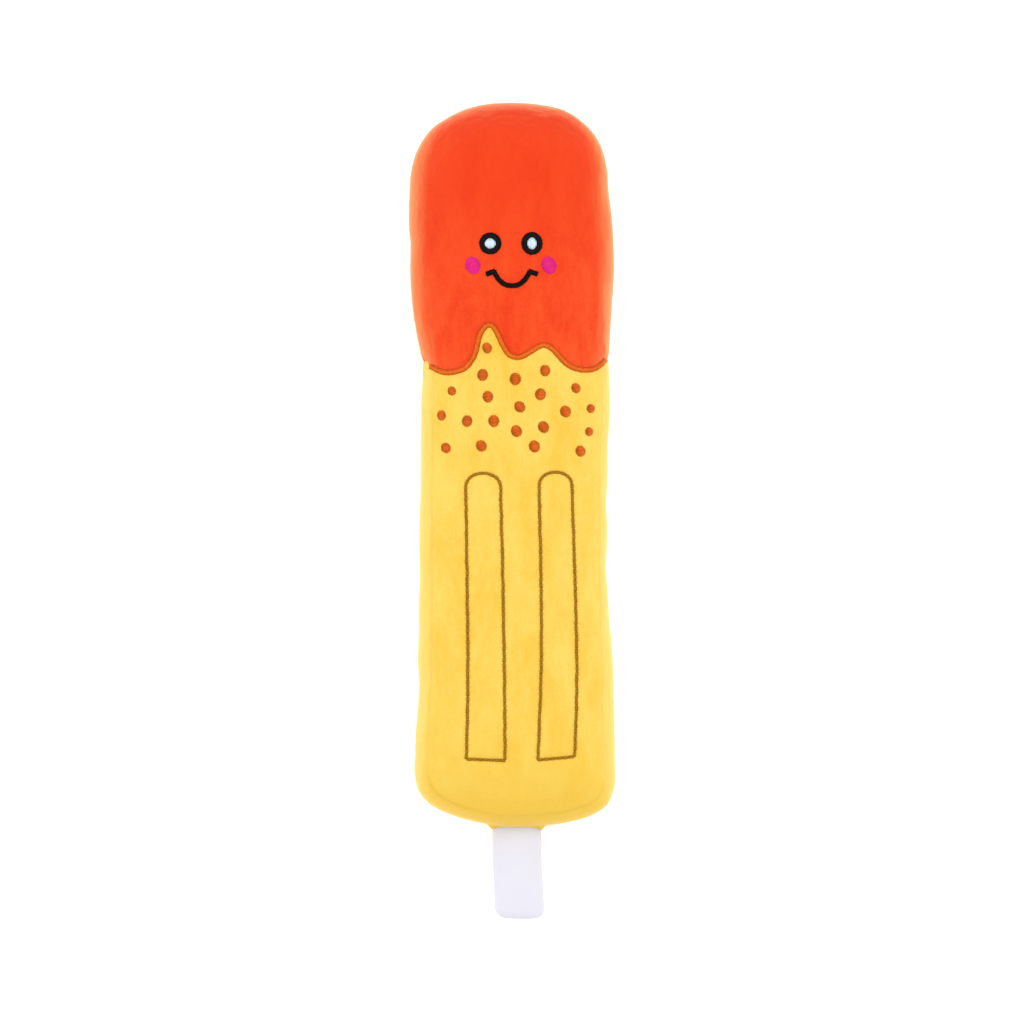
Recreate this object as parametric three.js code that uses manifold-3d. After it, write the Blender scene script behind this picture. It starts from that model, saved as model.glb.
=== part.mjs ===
// A stuffed toy in the shape of an ice pop, in millimetres. It lies on its back: +Y points to the
// rounded top of the pop, +X to the right, and +Z up, out of its face. The floor is z = 0.
// Two soft blocks, orange above and yellow below, meet at a wavy drip line. A flat white stick is
// sewn into the bottom, and the face, dots and stick slots are raised embroidery.
import * as THREE from "three";
import { mergeVertices } from "three/addons/utils/BufferGeometryUtils.js";
import Module from "manifold-3d";

const wasm = await Module();
wasm.setup();

// What separate pieces keep between them.
const GAP = 0.3;

// The outline seen from above. Each side runs through stations of [y, x], and each end is a
// superellipse about the end of the spine, the line down the middle of the toy.
const SPINE_TOP = 118;
const SPINE_BOTTOM = -84;
// Each end has a power for its left corner and one for its right, and its tip leans sideways.
const TOP_END = { reach: 32, acrossPower: 2.4, leftPower: 2.5, rightPower: 2.5, lean: 1.4 };
const BOTTOM_END = { reach: 31.4, acrossPower: 1.6, leftPower: 5, rightPower: 8.5, lean: 0 };
const LEFT_SIDE = [
  [-84, -35.2], [-55, -34.1], [-20, -33.4], [20, -33.4], [50, -32.6], [70, -35.1], [85, -36.4],
  [105, -37.65], [118, -37.3],
];
const RIGHT_SIDE = [
  [-84, 37.65], [-55, 36.8], [-20, 35.5], [20, 35.4], [50, 36], [70, 36.9], [92, 37.1], [118, 35.3],
];

// The thickness: a crowned front and a back that the toy's weight flattens on the floor.
const MIDDLE_HEIGHT = 20;
const FRONT_DEPTH = [[-84, 20.6], [-20, 19.8], [40, 19.6], [85, 21.4], [118, 21]];
const BACK_DEPTH = 21.5;
const BOXINESS = 3.2;

// The front and back panels are sewn to a side strip along a sunk seam. Its place is an angle in
// the section, above and below the middle.
const SEAM_SINK = 0.035;
const SEAM_HALF_WIDTH = THREE.MathUtils.degToRad(4);
const LEFT_SEAM = [[-84, 37], [50, 37], [118, 39]];
const RIGHT_SEAM = [[-84, 36], [50, 32], [118, 38]];

// The mesh: steps up each side and round each end, and levels down the section, which are shares
// of a right angle in the panels and shares of the seam's own angle in the side strip.
const SIDE_STEPS = 26;
const END_STEPS = 26;
const PANEL_LEVELS = [1, 0.86, 0.72, 0.59];
const STRIP_LEVELS = [0.55, 0.25];

// The drip line where orange meets yellow, from the left seam to the right one.
const DRIP = [
  [-29.6, 53.1], [-25.8, 51.1], [-21.9, 50.9], [-16.8, 52.6], [-13.4, 57.6], [-11.6, 64.6],
  [-8.6, 68.3], [-6.0, 66.6], [-2.9, 60.2], [-0.8, 57.3], [2.1, 56.3], [5.0, 57.2],
  [11.0, 60.7], [14.6, 59.7], [19.4, 54.7], [22.6, 52.6], [27.0, 51.7], [31.0, 52.4], [33.4, 54.4],
];
const DRIP_STEPS = 66;
const DRIP_THREAD = { halfWidth: 1.15, rise: 0.8 };
// The front's wavy line turns into a straight seam at this height, and keeps straight round the back.
const DRIP_DEEPEST = 30;

// Embroidered outlines of the two stick slots. Each side runs from its bottom corner, [x, y], up to
// the shoulder of the arch, and bows a little, as sewn by hand.
const SLOT_THREAD = { halfWidth: 0.7, rise: 0.6 };
const SLOT_STEPS = { bottom: 4, side: 16, arch: 12 };
const SLOTS = [
  {
    name: "left",
    leftSide: [[-16.6, -91], [-16, -66], [-16.25, -28], [-16.8, 9.3]],
    rightSide: [[-2.4, -91.5], [-2.6, -60], [-3.2, -25], [-4, 9.3]],
    archRise: 4.6,
  },
  {
    name: "right",
    leftSide: [[9.7, -91.3], [10.9, -56], [10.7, -20], [10.05, 9.8]],
    rightSide: [[23.1, -90.1], [24, -60], [23.3, -28], [22.2, 9.8]],
    archRise: 4.5,
  },
];

// Embroidered dots, [x, y, across]: they follow no rule, as on the toy.
const DOTS = [
  [-9.0, 59.8, 3.9], [-10.6, 49.9, 4.3], [1.4, 48.4, 4.5], [12.3, 51.5, 4.1], [-21.9, 44.0, 3.3],
  [-8.7, 41.9, 4.2], [10.6, 42.8, 4.3], [23.6, 45.1, 3.7], [29.1, 37.6, 3.2], [3.0, 38.2, 4.2],
  [19.8, 36.5, 4.3], [-25.7, 35.1, 3.6], [-16.3, 33.0, 4.2], [-6.5, 33.0, 4.3], [1.8, 29.3, 4.3],
  [11.7, 30.8, 4.3], [28.5, 29.1, 3.2], [-24.1, 23.1, 3.8], [-11.1, 23.9, 4.2], [8.4, 23.7, 4.4],
  [25.3, 22.0, 4.0],
];
const DOT_RISE = 0.7;

// The face: two ringed eyes, two round cheeks and a smile with a short tick at each end.
const EYE = { y: 98.1, outer: 4.1, innerAcross: 1.75, innerAlong: 2.15, rise: 0.8 };
const EYES = [
  { name: "left", x: -7.8 },
  { name: "right", x: 7.5 },
];
const CHEEK = { y: 90.1, radius: 3.2, rise: 0.7, sides: 16 };
const CHEEKS = [
  { name: "left", x: -14.2 },
  { name: "right", x: 13.7 },
];
const SMILE = {
  x: 0.4, y: 87.8, halfWidth: 6.8, drop: 5.3, fullness: 2.6, steps: 18,
  tick: 2.7, tickFall: 1.2, tickSteps: 3, overlap: 0.4,
};
const SMILE_THREAD = { halfWidth: 0.8, rise: 0.8 };

// The stick: a flat stuffed tongue that leans a little to the right.
const STICK = {
  end: -150, root: -108, rootX: 1.8, lean: 1.5, height: 19,
  halfWidth: 9.1, halfThickness: 4.5, corner: 4, tipThickness: 0.4,
  boxiness: 2.6, tipSteps: 5, shaftSteps: 8, sides: 20,
};

// A smooth curve through stations of [place, value].
function through(stations) {
  const slope = (i) => {
    const a = stations[Math.max(i - 1, 0)];
    const b = stations[Math.min(i + 1, stations.length - 1)];
    return (b[1] - a[1]) / (b[0] - a[0]);
  };
  return (at) => {
    let i = 0;
    while (i < stations.length - 2 && at > stations[i + 1][0]) i++;
    const [x0, v0] = stations[i];
    const [x1, v1] = stations[i + 1];
    const span = x1 - x0;
    const t = THREE.MathUtils.clamp((at - x0) / span, 0, 1);
    const bend = (1 - t) * (1 - t) * t * slope(i) * span - t * t * (1 - t) * slope(i + 1) * span;
    return v0 + (v1 - v0) * t * t * (3 - 2 * t) + bend;
  };
}

const leftAt = through(LEFT_SIDE);
const rightAt = through(RIGHT_SIDE);
const depthAt = through(FRONT_DEPTH);
const leftSeamAt = through(LEFT_SEAM);
const rightSeamAt = through(RIGHT_SEAM);
const spineAt = (y) => (leftAt(y) + rightAt(y)) / 2;
const halfWidthAt = (y) => (rightAt(y) - leftAt(y)) / 2;

// How far the outline lies from the end of the spine, in the direction (dx, dy), by halving.
const HALVINGS = 40;

function reachOf(dx, dy, end, halfWidth) {
  const alongPower = dx < 0 ? end.leftPower : end.rightPower;
  const past = (k) =>
    Math.abs((k * dx) / halfWidth) ** end.acrossPower + Math.abs((k * dy) / end.reach) ** alongPower > 1;
  let low = 0;
  let high = 2 * Math.max(halfWidth, end.reach);
  for (let i = 0; i < HALVINGS; i++) {
    const middle = (low + high) / 2;
    if (past(middle)) high = middle;
    else low = middle;
  }
  return low;
}

// A ray from the spine to the outline: its two ends, and the y of the spine that it leaves.
function ray(y, edgeX, edgeY) {
  return { centre: new THREE.Vector2(spineAt(y), y), edge: new THREE.Vector2(edgeX, edgeY), y };
}

function endRays(y, end, from, to) {
  const made = [];
  for (let i = 1; i < END_STEPS; i++) {
    const angle = THREE.MathUtils.lerp(from, to, i / END_STEPS);
    const dx = Math.cos(angle);
    const dy = Math.sin(angle);
    const far = reachOf(dx, dy, end, halfWidthAt(y));
    const aside = end.lean * ((far * dy) / end.reach) ** 2;
    made.push(ray(y, spineAt(y) + far * dx + aside, y + far * dy));
  }
  return made;
}

// All rays, anticlockwise seen from above: up the right side, round the top, and back.
function allRays() {
  const heights = [];
  for (let i = 0; i <= SIDE_STEPS; i++) {
    heights.push(THREE.MathUtils.lerp(SPINE_BOTTOM, SPINE_TOP, i / SIDE_STEPS));
  }
  return [
    ...heights.map((y) => ray(y, rightAt(y), y)),
    ...endRays(SPINE_TOP, TOP_END, 0, Math.PI),
    ...heights.toReversed().map((y) => ray(y, leftAt(y), y)),
    ...endRays(SPINE_BOTTOM, BOTTOM_END, Math.PI, 2 * Math.PI),
  ];
}

// The seam's angle where a ray meets it: left and right differ, and the ends blend the two.
function seamAngle(r) {
  const across = r.edge.clone().sub(r.centre).normalize().x;
  const share = (across + 1) / 2;
  const degrees = THREE.MathUtils.lerp(leftSeamAt(r.y), rightSeamAt(r.y), share);
  return THREE.MathUtils.degToRad(degrees);
}

// Where the section is at an angle: the share of the way out to the edge, and of the depth.
function section(angle) {
  const c = Math.cos(angle);
  const s = Math.sin(angle);
  const r = (Math.abs(c) ** BOXINESS + Math.abs(s) ** BOXINESS) ** (-1 / BOXINESS);
  return { out: Math.max(r * c, 0), up: r * s };
}

// Angles from the front's spine, down the section through both seams, to the back's spine.
function levels(seam) {
  const panel = PANEL_LEVELS.map((share) => (share * Math.PI) / 2);
  const valley = [seam + SEAM_HALF_WIDTH, seam, seam - SEAM_HALF_WIDTH];
  const strip = STRIP_LEVELS.map((share) => share * seam);
  const upper = [...panel, ...valley, ...strip];
  return [...upper, 0, ...upper.toReversed().map((angle) => -angle)];
}

function plushGeometry() {
  const rays = allRays();
  const points = rays.map((r) => {
    const seam = seamAngle(r);
    return levels(seam).map((angle) => {
      const at = section(angle);
      const sink = Math.abs(angle) === seam ? 1 - SEAM_SINK : 1;
      const p = r.centre.clone().lerp(r.edge, at.out * sink);
      const depth = angle > 0 ? depthAt(r.y) : BACK_DEPTH;
      return [p.x, p.y, Math.max(MIDDLE_HEIGHT + depth * at.up * sink, 0)];
    });
  });
  return grid(points, true);
}

// A geometry from rows of points, each row the same length. Rows join in a loop when closed.
function grid(rows, closed) {
  const positions = rows.flat(2);
  const width = rows[0].length;
  const index = [];
  for (let i = 0; i < (closed ? rows.length : rows.length - 1); i++) {
    const a = i * width;
    const b = ((i + 1) % rows.length) * width;
    for (let j = 0; j < width - 1; j++) {
      index.push(a + j, a + j + 1, b + j);
      index.push(b + j, a + j + 1, b + j + 1);
    }
  }
  const geometry = new THREE.BufferGeometry();
  geometry.setAttribute("position", new THREE.Float32BufferAttribute(positions, 3));
  geometry.setIndex(index);
  return geometry;
}

// A manifold solid from a geometry whose open ends, poles and doubles all close by position.
const SAME_PLACE = 1e-4;

function solid(geometry) {
  for (const name of ["normal", "uv"]) geometry.deleteAttribute(name);
  const merged = mergeVertices(geometry, SAME_PLACE);
  const corners = [];
  for (let i = 0; i < merged.index.count; i += 3) {
    const [a, b, c] = [0, 1, 2].map((k) => merged.index.getX(i + k));
    if (a !== b && b !== c && c !== a) corners.push(a, b, c);
  }
  return new wasm.Manifold(
    new wasm.Mesh({
      numProp: 3,
      vertProperties: new Float32Array(merged.attributes.position.array),
      triVerts: new Uint32Array(corners),
    }),
  );
}

function geometryOf(manifold) {
  const mesh = manifold.getMesh();
  const geometry = new THREE.BufferGeometry();
  geometry.setAttribute("position", new THREE.Float32BufferAttribute(mesh.vertProperties, 3));
  geometry.setIndex(new THREE.Uint32BufferAttribute(mesh.triVerts, 1));
  return geometry;
}

// The height of the front at a place, as the smooth form has it.
function frontHeight(x, y) {
  const spineY = THREE.MathUtils.clamp(y, SPINE_BOTTOM, SPINE_TOP);
  const dx = x - spineAt(spineY);
  const dy = y - spineY;
  const far = Math.hypot(dx, dy);
  let reach = halfWidthAt(spineY);
  if (dy !== 0) reach = reachOf(dx / far, dy / far, dy > 0 ? TOP_END : BOTTOM_END, reach);
  const out = Math.min(far / reach, 1);
  return MIDDLE_HEIGHT + depthAt(spineY) * (1 - out ** BOXINESS) ** (1 / BOXINESS);
}

function lifted(x, y, height) {
  return [x, y, frontHeight(x, y) + GAP + height];
}

// A raised column of stitches along a line on the front. Its section is a low arch.
const ARCH = [[-1, 0], [-0.6, 0.75], [0, 1], [0.6, 0.75], [1, 0], [0, 0]];

function stitchColumn(line, thread, closed = false) {
  const rows = line.map((p, i) => {
    const before = line[closed ? (i + line.length - 1) % line.length : Math.max(i - 1, 0)];
    const after = line[closed ? (i + 1) % line.length : Math.min(i + 1, line.length - 1)];
    const along = after.clone().sub(before).normalize();
    const row = ARCH.map(([side, height]) => {
      const x = p.x + along.y * side * thread.halfWidth;
      const y = p.y - along.x * side * thread.halfWidth;
      return lifted(x, y, height * thread.rise);
    });
    return [...row, row[0]];
  });
  return grid(closed ? rows : capped(rows), closed);
}

// Rows of looped sections with a point at each end, which closes them.
function capped(rows) {
  const point = (row) => {
    const loop = row.slice(1);
    const middle = [0, 1, 2].map((k) => loop.reduce((sum, p) => sum + p[k], 0) / loop.length);
    return row.map(() => middle);
  };
  return [point(rows[0]), ...rows, point(rows.at(-1))];
}

// A low dome of fill stitches over an ellipse on the front. Its profile is [share of the way out,
// share of the rise], from the middle of the top to the middle of the base.
const DOME = [[0, 1], [0.62, 0.85], [1, 0], [0, 0]];

function stitchDome(x, y, across, along, rise, sides = 12) {
  const rows = [];
  for (let i = 0; i < sides; i++) {
    const angle = (i / sides) * 2 * Math.PI;
    const row = DOME.map(([out, height]) =>
      lifted(x + out * across * Math.cos(angle), y + out * along * Math.sin(angle), height * rise),
    );
    rows.push(row);
  }
  return grid(rows, true);
}

// The same as a ring, with its section looped from the inner edge over to the outer and back.
const RING = [[0, 0], [0.3, 1], [0.7, 1], [1, 0], [0.5, 0], [0, 0]];

function stitchRing(x, y, outer, innerAcross, innerAlong, rise, sides = 20) {
  const rows = [];
  for (let i = 0; i < sides; i++) {
    const angle = (i / sides) * 2 * Math.PI;
    const row = RING.map(([out, height]) => {
      const across = THREE.MathUtils.lerp(innerAcross + GAP, outer, out);
      const along = THREE.MathUtils.lerp(innerAlong + GAP, outer, out);
      return lifted(x + across * Math.cos(angle), y + along * Math.sin(angle), height * rise);
    });
    rows.push(row);
  }
  return grid(rows, true);
}

function dripLine() {
  return spline(DRIP, DRIP_STEPS);
}

// The line moved sideways, towards the yellow when the distance is positive.
function offsetLine(line, distance) {
  return line.map((p, i) => {
    const before = line[Math.max(i - 1, 0)];
    const after = line[Math.min(i + 1, line.length - 1)];
    const along = after.clone().sub(before).normalize();
    return new THREE.Vector2(p.x + along.y * distance, p.y - along.x * distance);
  });
}

// How far the cutting prisms reach past the toy.
const MARGIN = 60;

// Everything above the join: wavy in the front's depth, and straight in the sides and the back.
function aboveJoin(grow) {
  const past = MARGIN;
  const high = SPINE_TOP + past;
  const prism = (line, low, depth) => {
    const shape = new THREE.Shape([
      ...line,
      new THREE.Vector2(past, line.at(-1).y),
      new THREE.Vector2(past, high),
      new THREE.Vector2(-past, high),
      new THREE.Vector2(-past, line[0].y),
    ]);
    const geometry = new THREE.ExtrudeGeometry(shape, { depth, bevelEnabled: false, steps: 1 });
    return solid(geometry.translate(0, 0, low));
  };
  const wavy = offsetLine(dripLine(), grow);
  const straight = [dripLine()[0], dripLine().at(-1)].map((p) => new THREE.Vector2(p.x, p.y - grow));
  const front = prism(wavy, DRIP_DEEPEST - grow, past);
  return front.add(prism(straight, -past, past + DRIP_DEEPEST + grow));
}

// Points from one place to another, without the last.
function straight(from, to, steps) {
  return Array.from({ length: steps }, (_, i) => from.clone().lerp(to, i / steps));
}

// A smooth curve through places [x, y], as evenly spaced points.
function spline(places, steps) {
  return new THREE.SplineCurve(places.map(([x, y]) => new THREE.Vector2(x, y))).getSpacedPoints(steps);
}

function slotLine(slot) {
  const up = spline(slot.rightSide, SLOT_STEPS.side);
  const down = spline(slot.leftSide, SLOT_STEPS.side).toReversed();
  const middle = up.at(-1).clone().add(down[0]).divideScalar(2);
  const half = (up.at(-1).x - down[0].x) / 2;
  const arch = new THREE.EllipseCurve(middle.x, middle.y, half, slot.archRise, 0, Math.PI);
  return [
    ...straight(down.at(-1), up[0], SLOT_STEPS.bottom),
    ...up.slice(0, -1),
    ...arch.getPoints(SLOT_STEPS.arch).slice(0, -1),
    ...down.slice(0, -1),
  ];
}

// A smile's arc, fuller than a parabola, with a tick at each end that rises into the mouth's corner.
function smileSolid() {
  const mouth = [];
  for (let i = 0; i <= SMILE.steps; i++) {
    const share = (2 * i) / SMILE.steps - 1;
    const y = SMILE.y - SMILE.drop * (1 - Math.abs(share) ** SMILE.fullness);
    mouth.push(new THREE.Vector2(SMILE.x + SMILE.halfWidth * share, y));
  }
  let made = solid(stitchColumn(mouth, SMILE_THREAD));
  for (const side of [-1, 1]) {
    const x = SMILE.x + side * (SMILE.halfWidth - SMILE.overlap);
    const inner = new THREE.Vector2(x, SMILE.y + SMILE.overlap);
    const outer = new THREE.Vector2(x + side * SMILE.tick, inner.y - SMILE.tickFall);
    const [from, to] = side < 0 ? [outer, inner] : [inner, outer];
    const line = [...straight(from, to, SMILE.tickSteps), to];
    made = made.add(solid(stitchColumn(line, SMILE_THREAD)));
  }
  return made;
}

// The stick's section is a flat superellipse. Its tip is rounded in plan and in thickness.
function stickGeometry() {
  const heights = [];
  for (let i = 0; i < STICK.tipSteps; i++) {
    const angle = (i / STICK.tipSteps) * (Math.PI / 2);
    heights.push({ y: STICK.end + STICK.corner * (1 - Math.cos(angle)), opened: Math.sin(angle) });
  }
  for (let i = 0; i <= STICK.shaftSteps; i++) {
    const y = THREE.MathUtils.lerp(STICK.end + STICK.corner, STICK.root, i / STICK.shaftSteps);
    heights.push({ y, opened: 1 });
  }
  const rows = heights.map(({ y, opened }) => {
    const halfWidth = THREE.MathUtils.lerp(STICK.halfWidth - STICK.corner, STICK.halfWidth, opened);
    const halfThickness = STICK.halfThickness * THREE.MathUtils.lerp(STICK.tipThickness, 1, opened);
    const down = (STICK.root - y) / (STICK.root - STICK.end);
    const x = STICK.rootX + STICK.lean * down * down;
    const row = [];
    for (let j = 0; j < STICK.sides; j++) {
      const angle = (j / STICK.sides) * 2 * Math.PI;
      const c = Math.cos(angle);
      const s = Math.sin(angle);
      const r = (Math.abs(c) ** STICK.boxiness + Math.abs(s) ** STICK.boxiness) ** (-1 / STICK.boxiness);
      row.push([x + halfWidth * r * c, y, STICK.height + halfThickness * r * s]);
    }
    return [...row, row[0]];
  });
  return grid(capped(rows).toReversed(), false);
}

function finish(name, colour, roughness) {
  return new THREE.MeshStandardMaterial({ name, color: colour, roughness, metalness: 0 });
}

const orangePlush = finish("orange_plush", 0xfc4a24, 0.95);
const yellowPlush = finish("yellow_plush", 0xfdd65e, 0.95);
const whiteFelt = finish("white_felt", 0xf1f0f7, 0.9);
const rustThread = finish("rust_thread", 0xd9601c, 0.6);
const brownThread = finish("brown_thread", 0x8a5a14, 0.6);
const blackThread = finish("black_thread", 0x1c1210, 0.55);
const whiteThread = finish("white_thread", 0xe6eef6, 0.55);
const pinkThread = finish("pink_thread", 0xe4307f, 0.6);

const toy = new THREE.Group();

function add(name, manifold, material) {
  const mesh = new THREE.Mesh(geometryOf(manifold), material);
  mesh.name = name;
  toy.add(mesh);
}

const plush = solid(plushGeometry());
add("orange_top", plush.intersect(aboveJoin(0)), orangePlush);
add("yellow_body", plush.subtract(aboveJoin(GAP)), yellowPlush);
add("stick", solid(stickGeometry()).subtract(plush.translate([0, -GAP, 0])), whiteFelt);
add("drip_stitching", solid(stitchColumn(dripLine(), DRIP_THREAD)), rustThread);
for (const slot of SLOTS) {
  add("slot_stitching_" + slot.name, solid(stitchColumn(slotLine(slot), SLOT_THREAD, true)), brownThread);
}
DOTS.forEach(([x, y, across], i) => {
  add("dot_" + (i + 1), solid(stitchDome(x, y, across / 2, across / 2, DOT_RISE)), rustThread);
});
for (const eye of EYES) {
  const ring = stitchRing(eye.x, EYE.y, EYE.outer, EYE.innerAcross, EYE.innerAlong, EYE.rise);
  const white = stitchDome(eye.x, EYE.y, EYE.innerAcross, EYE.innerAlong, EYE.rise);
  add("eye_ring_" + eye.name, solid(ring), blackThread);
  add("eye_white_" + eye.name, solid(white), whiteThread);
}
for (const cheek of CHEEKS) {
  const dome = stitchDome(cheek.x, CHEEK.y, CHEEK.radius, CHEEK.radius, CHEEK.rise, CHEEK.sides);
  add("cheek_" + cheek.name, solid(dome), pinkThread);
}
add("smile", smileSolid(), blackThread);

export default toy;
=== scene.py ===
# A stuffed toy ice pop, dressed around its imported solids: velour covers blown up by real cloth
# simulation, a felt stick, and embroidery laid thread by thread. All in metres: +Y runs to the
# rounded top, +Z comes out of the face, and the toy lies on its back at z = 0.
import math
import random

import bmesh
import bpy
import numpy as np
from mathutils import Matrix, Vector, noise
from mathutils.bvhtree import BVHTree
from mathutils.kdtree import KDTree


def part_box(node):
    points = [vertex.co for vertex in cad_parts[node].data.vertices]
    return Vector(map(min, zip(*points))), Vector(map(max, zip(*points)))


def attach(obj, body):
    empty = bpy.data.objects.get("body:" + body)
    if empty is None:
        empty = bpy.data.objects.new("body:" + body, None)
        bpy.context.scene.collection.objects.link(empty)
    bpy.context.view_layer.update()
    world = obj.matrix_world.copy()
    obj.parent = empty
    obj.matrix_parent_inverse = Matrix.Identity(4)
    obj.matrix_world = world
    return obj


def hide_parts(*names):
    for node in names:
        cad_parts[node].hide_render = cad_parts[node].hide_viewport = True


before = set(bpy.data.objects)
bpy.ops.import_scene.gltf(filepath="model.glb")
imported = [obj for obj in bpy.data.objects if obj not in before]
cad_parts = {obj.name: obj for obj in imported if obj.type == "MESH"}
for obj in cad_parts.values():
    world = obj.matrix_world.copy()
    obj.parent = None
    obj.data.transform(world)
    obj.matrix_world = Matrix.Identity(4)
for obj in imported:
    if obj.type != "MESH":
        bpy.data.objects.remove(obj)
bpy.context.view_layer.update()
mm = 0.001
weld = 0.02 * mm  # a CAD mesh comes as loose triangles, and points this near each other are joined
farOff = 1.0  # a metre, out of the reach of any stitch
dice = random.Random(7)
print("frame loaded:", len(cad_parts), "nodes")


def selectOnly(*objs):
    bpy.ops.object.select_all(action="DESELECT")
    for obj in objs:
        obj.select_set(True)
    bpy.context.view_layer.objects.active = objs[0]


def applyModifiers(obj):
    selectOnly(obj)
    for modifier in list(obj.modifiers):
        bpy.ops.object.modifier_apply(modifier=modifier.name)


def copyOfNodes(name, nodeNames):
    copies = []
    for nodeName in nodeNames:
        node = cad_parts[nodeName]
        copied = bpy.data.objects.new(name, node.data.copy())
        bpy.context.scene.collection.objects.link(copied)
        copies.append(copied)
    selectOnly(*copies)
    if len(copies) > 1:
        bpy.ops.object.join()
    made = bpy.context.view_layer.objects.active
    bpy.ops.object.mode_set(mode="EDIT")
    bpy.ops.mesh.select_all(action="SELECT")
    bpy.ops.mesh.remove_doubles(threshold=weld)
    bpy.ops.object.mode_set(mode="OBJECT")
    made.data.materials.clear()
    return made


def placesOf(obj):
    flat = np.empty(len(obj.data.vertices) * 3)
    obj.data.vertices.foreach_get("co", flat)
    return flat.reshape(-1, 3)


def normalsOf(obj):
    flat = np.empty(len(obj.data.vertices) * 3)
    obj.data.vertex_normals.foreach_get("vector", flat)
    return flat.reshape(-1, 3)


def moveTo(obj, places):
    obj.data.vertices.foreach_set("co", places.ravel())
    obj.data.update()


def treeOf(points):
    tree = KDTree(len(points))
    for index, point in enumerate(points):
        tree.insert(point, index)
    tree.balance()
    return tree


def distancesTo(tree, places):
    return np.array([tree.find(place)[2] for place in places])


def alongLine(points, step, closed=False):
    # points every step along a polyline, each with its direction
    ends = points + points[:1] if closed else points
    made = []
    spare = 0.0
    for a, b in zip(ends, ends[1:]):
        length = (b - a).length
        while spare < length:
            made.append((a.lerp(b, spare / length), (b - a).normalized()))
            spare += step
        spare -= length
    return made


def linear(code):
    parts = [int(code[i:i + 2], 16) / 255 for i in (0, 2, 4)]
    return [c / 12.92 if c <= 0.04045 else ((c + 0.055) / 1.055) ** 2.4 for c in parts] + [1]


def addNode(tree, kind, settings=(), links=()):
    node = tree.nodes.new(kind)
    for name, value in dict(settings).items():
        if name in node.inputs:
            node.inputs[name].default_value = value
        else:
            setattr(node, name, value)
    for name, socket in dict(links).items():
        tree.links.new(socket, node.inputs[name])
    return node


def newMaterial(name):
    material = bpy.data.materials.new(name)
    material.use_nodes = True
    tree = material.node_tree
    return material, tree, tree.nodes["Principled BSDF"]


# Camera, floor and light: the photograph looks straight down on the toy, under soft white light.
view = {
    "lens": 900,  # very long, so that face and silhouette keep one scale
    "sensor": 36,
    "span": 376.4 * mm,  # what the frame's side takes in at the toy's middle height
    "middle": (0.18 * mm, -0.37 * mm, 20 * mm),
    "clipEnd": 20,
}
distance = view["span"] * view["lens"] / view["sensor"]
x, y, z = view["middle"]
bpy.ops.object.camera_add(location=(x, y, z + distance), rotation=(0, 0, 0))
camera = bpy.context.object
camera.data.lens = view["lens"]
camera.data.sensor_width = view["sensor"]
camera.data.clip_end = view["clipEnd"]
bpy.context.scene.camera = camera
bpy.context.scene.view_settings.view_transform = "Standard"

studio = {
    "sky": 0.95,
    "lamps": [  # place, size, power in watts: one from above, and low ones that catch the sides
        ((0.2, 0.7, 1.6), 1.0, 10),
        ((-1.2, 0.0, 0.6), 1.0, 4.5),
        ((1.2, 0.0, 0.6), 1.0, 3.5),
        ((0.0, -1.2, 0.6), 1.0, 1),
    ],
}
world = bpy.data.worlds.new("studio")
world.use_nodes = True
world.node_tree.nodes["Background"].inputs["Color"].default_value = (1, 1, 1, 1)
world.node_tree.nodes["Background"].inputs["Strength"].default_value = studio["sky"]
bpy.context.scene.world = world
for place, size, power in studio["lamps"]:
    bpy.ops.object.light_add(type="AREA", location=place)
    lamp = bpy.context.object
    lamp.data.size = size
    lamp.data.energy = power
    lamp.rotation_euler = (-Vector(place)).to_track_quat("-Z", "Y").to_euler()

# Matt white paper, which glows a little, as over a light table, and so shows no dark shadow.
paper = {
    "size": 6,
    "gap": 0.2 * mm,  # between the paper and the toy
    "colour": "FAFAFA",
    "glow": "FFFFFF",
    "glowStrength": 0.29,
}
bpy.ops.mesh.primitive_plane_add(size=paper["size"], location=(0, 0, -paper["gap"]))
floor = bpy.context.object
floor.name = "floor"
floorMaterial, tree, shader = newMaterial("matt_white_paper")
shader.inputs["Base Color"].default_value = linear(paper["colour"])
shader.inputs["Roughness"].default_value = 1
shader.inputs["Emission Color"].default_value = linear(paper["glow"])
shader.inputs["Emission Strength"].default_value = paper["glowStrength"]
floor.data.materials.append(floorMaterial)
print("camera, light and floor set")


# Short-pile polyester velour, warp-knitted and brushed: matt face on, a pale glow where the pile is seen
# side on, painted sheen on what faces sideways, painted shade where it turns over an end or parts at a
# seam, and faint patches where the pile has been stroked another way.
pile = {
    "patch": 9 * mm,
    "streak": 1.7 * mm,
    "tuft": 0.9 * mm,  # drawn coarser than life, where a tuft is about 0.3 mm
    "stretch": 0.4,  # the strokes run up and down the toy
    "tuftShare": 0.5,  # of the tufts beside the streaks
    "fineShare": 0.45,  # of both together beside the patches
    "strokedAt": 0.38,  # how the noise is spread from stroked to upright pile
    "uprightAt": 0.6,
    "bump": 0.6,
    "bumpHeight": 0.12 * mm,
    "roughness": 0.95,
    "gloss": 0.05,
    "sideSheenFrom": 0.55,  # how far a panel leans before the painted sheen makes it paler, and where it is palest
    "sideSheenTo": 0.9,
    "sideSheenMost": 0.55,
    "seamShadeMost": 0.35,  # how much painted shade shows at a seam, where the pile also parts
    "endFrom": 60 * mm,  # from the toy's middle towards its two ends the pile is more stroked
    "endTo": 120 * mm,
    "endMost": 0.75,
    "tipFrom": 0.35,  # painted shade: the colour is deeper where the cloth turns over an end
    "tipTo": 0.9,
    "tipMost": 0.8,
}


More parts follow.
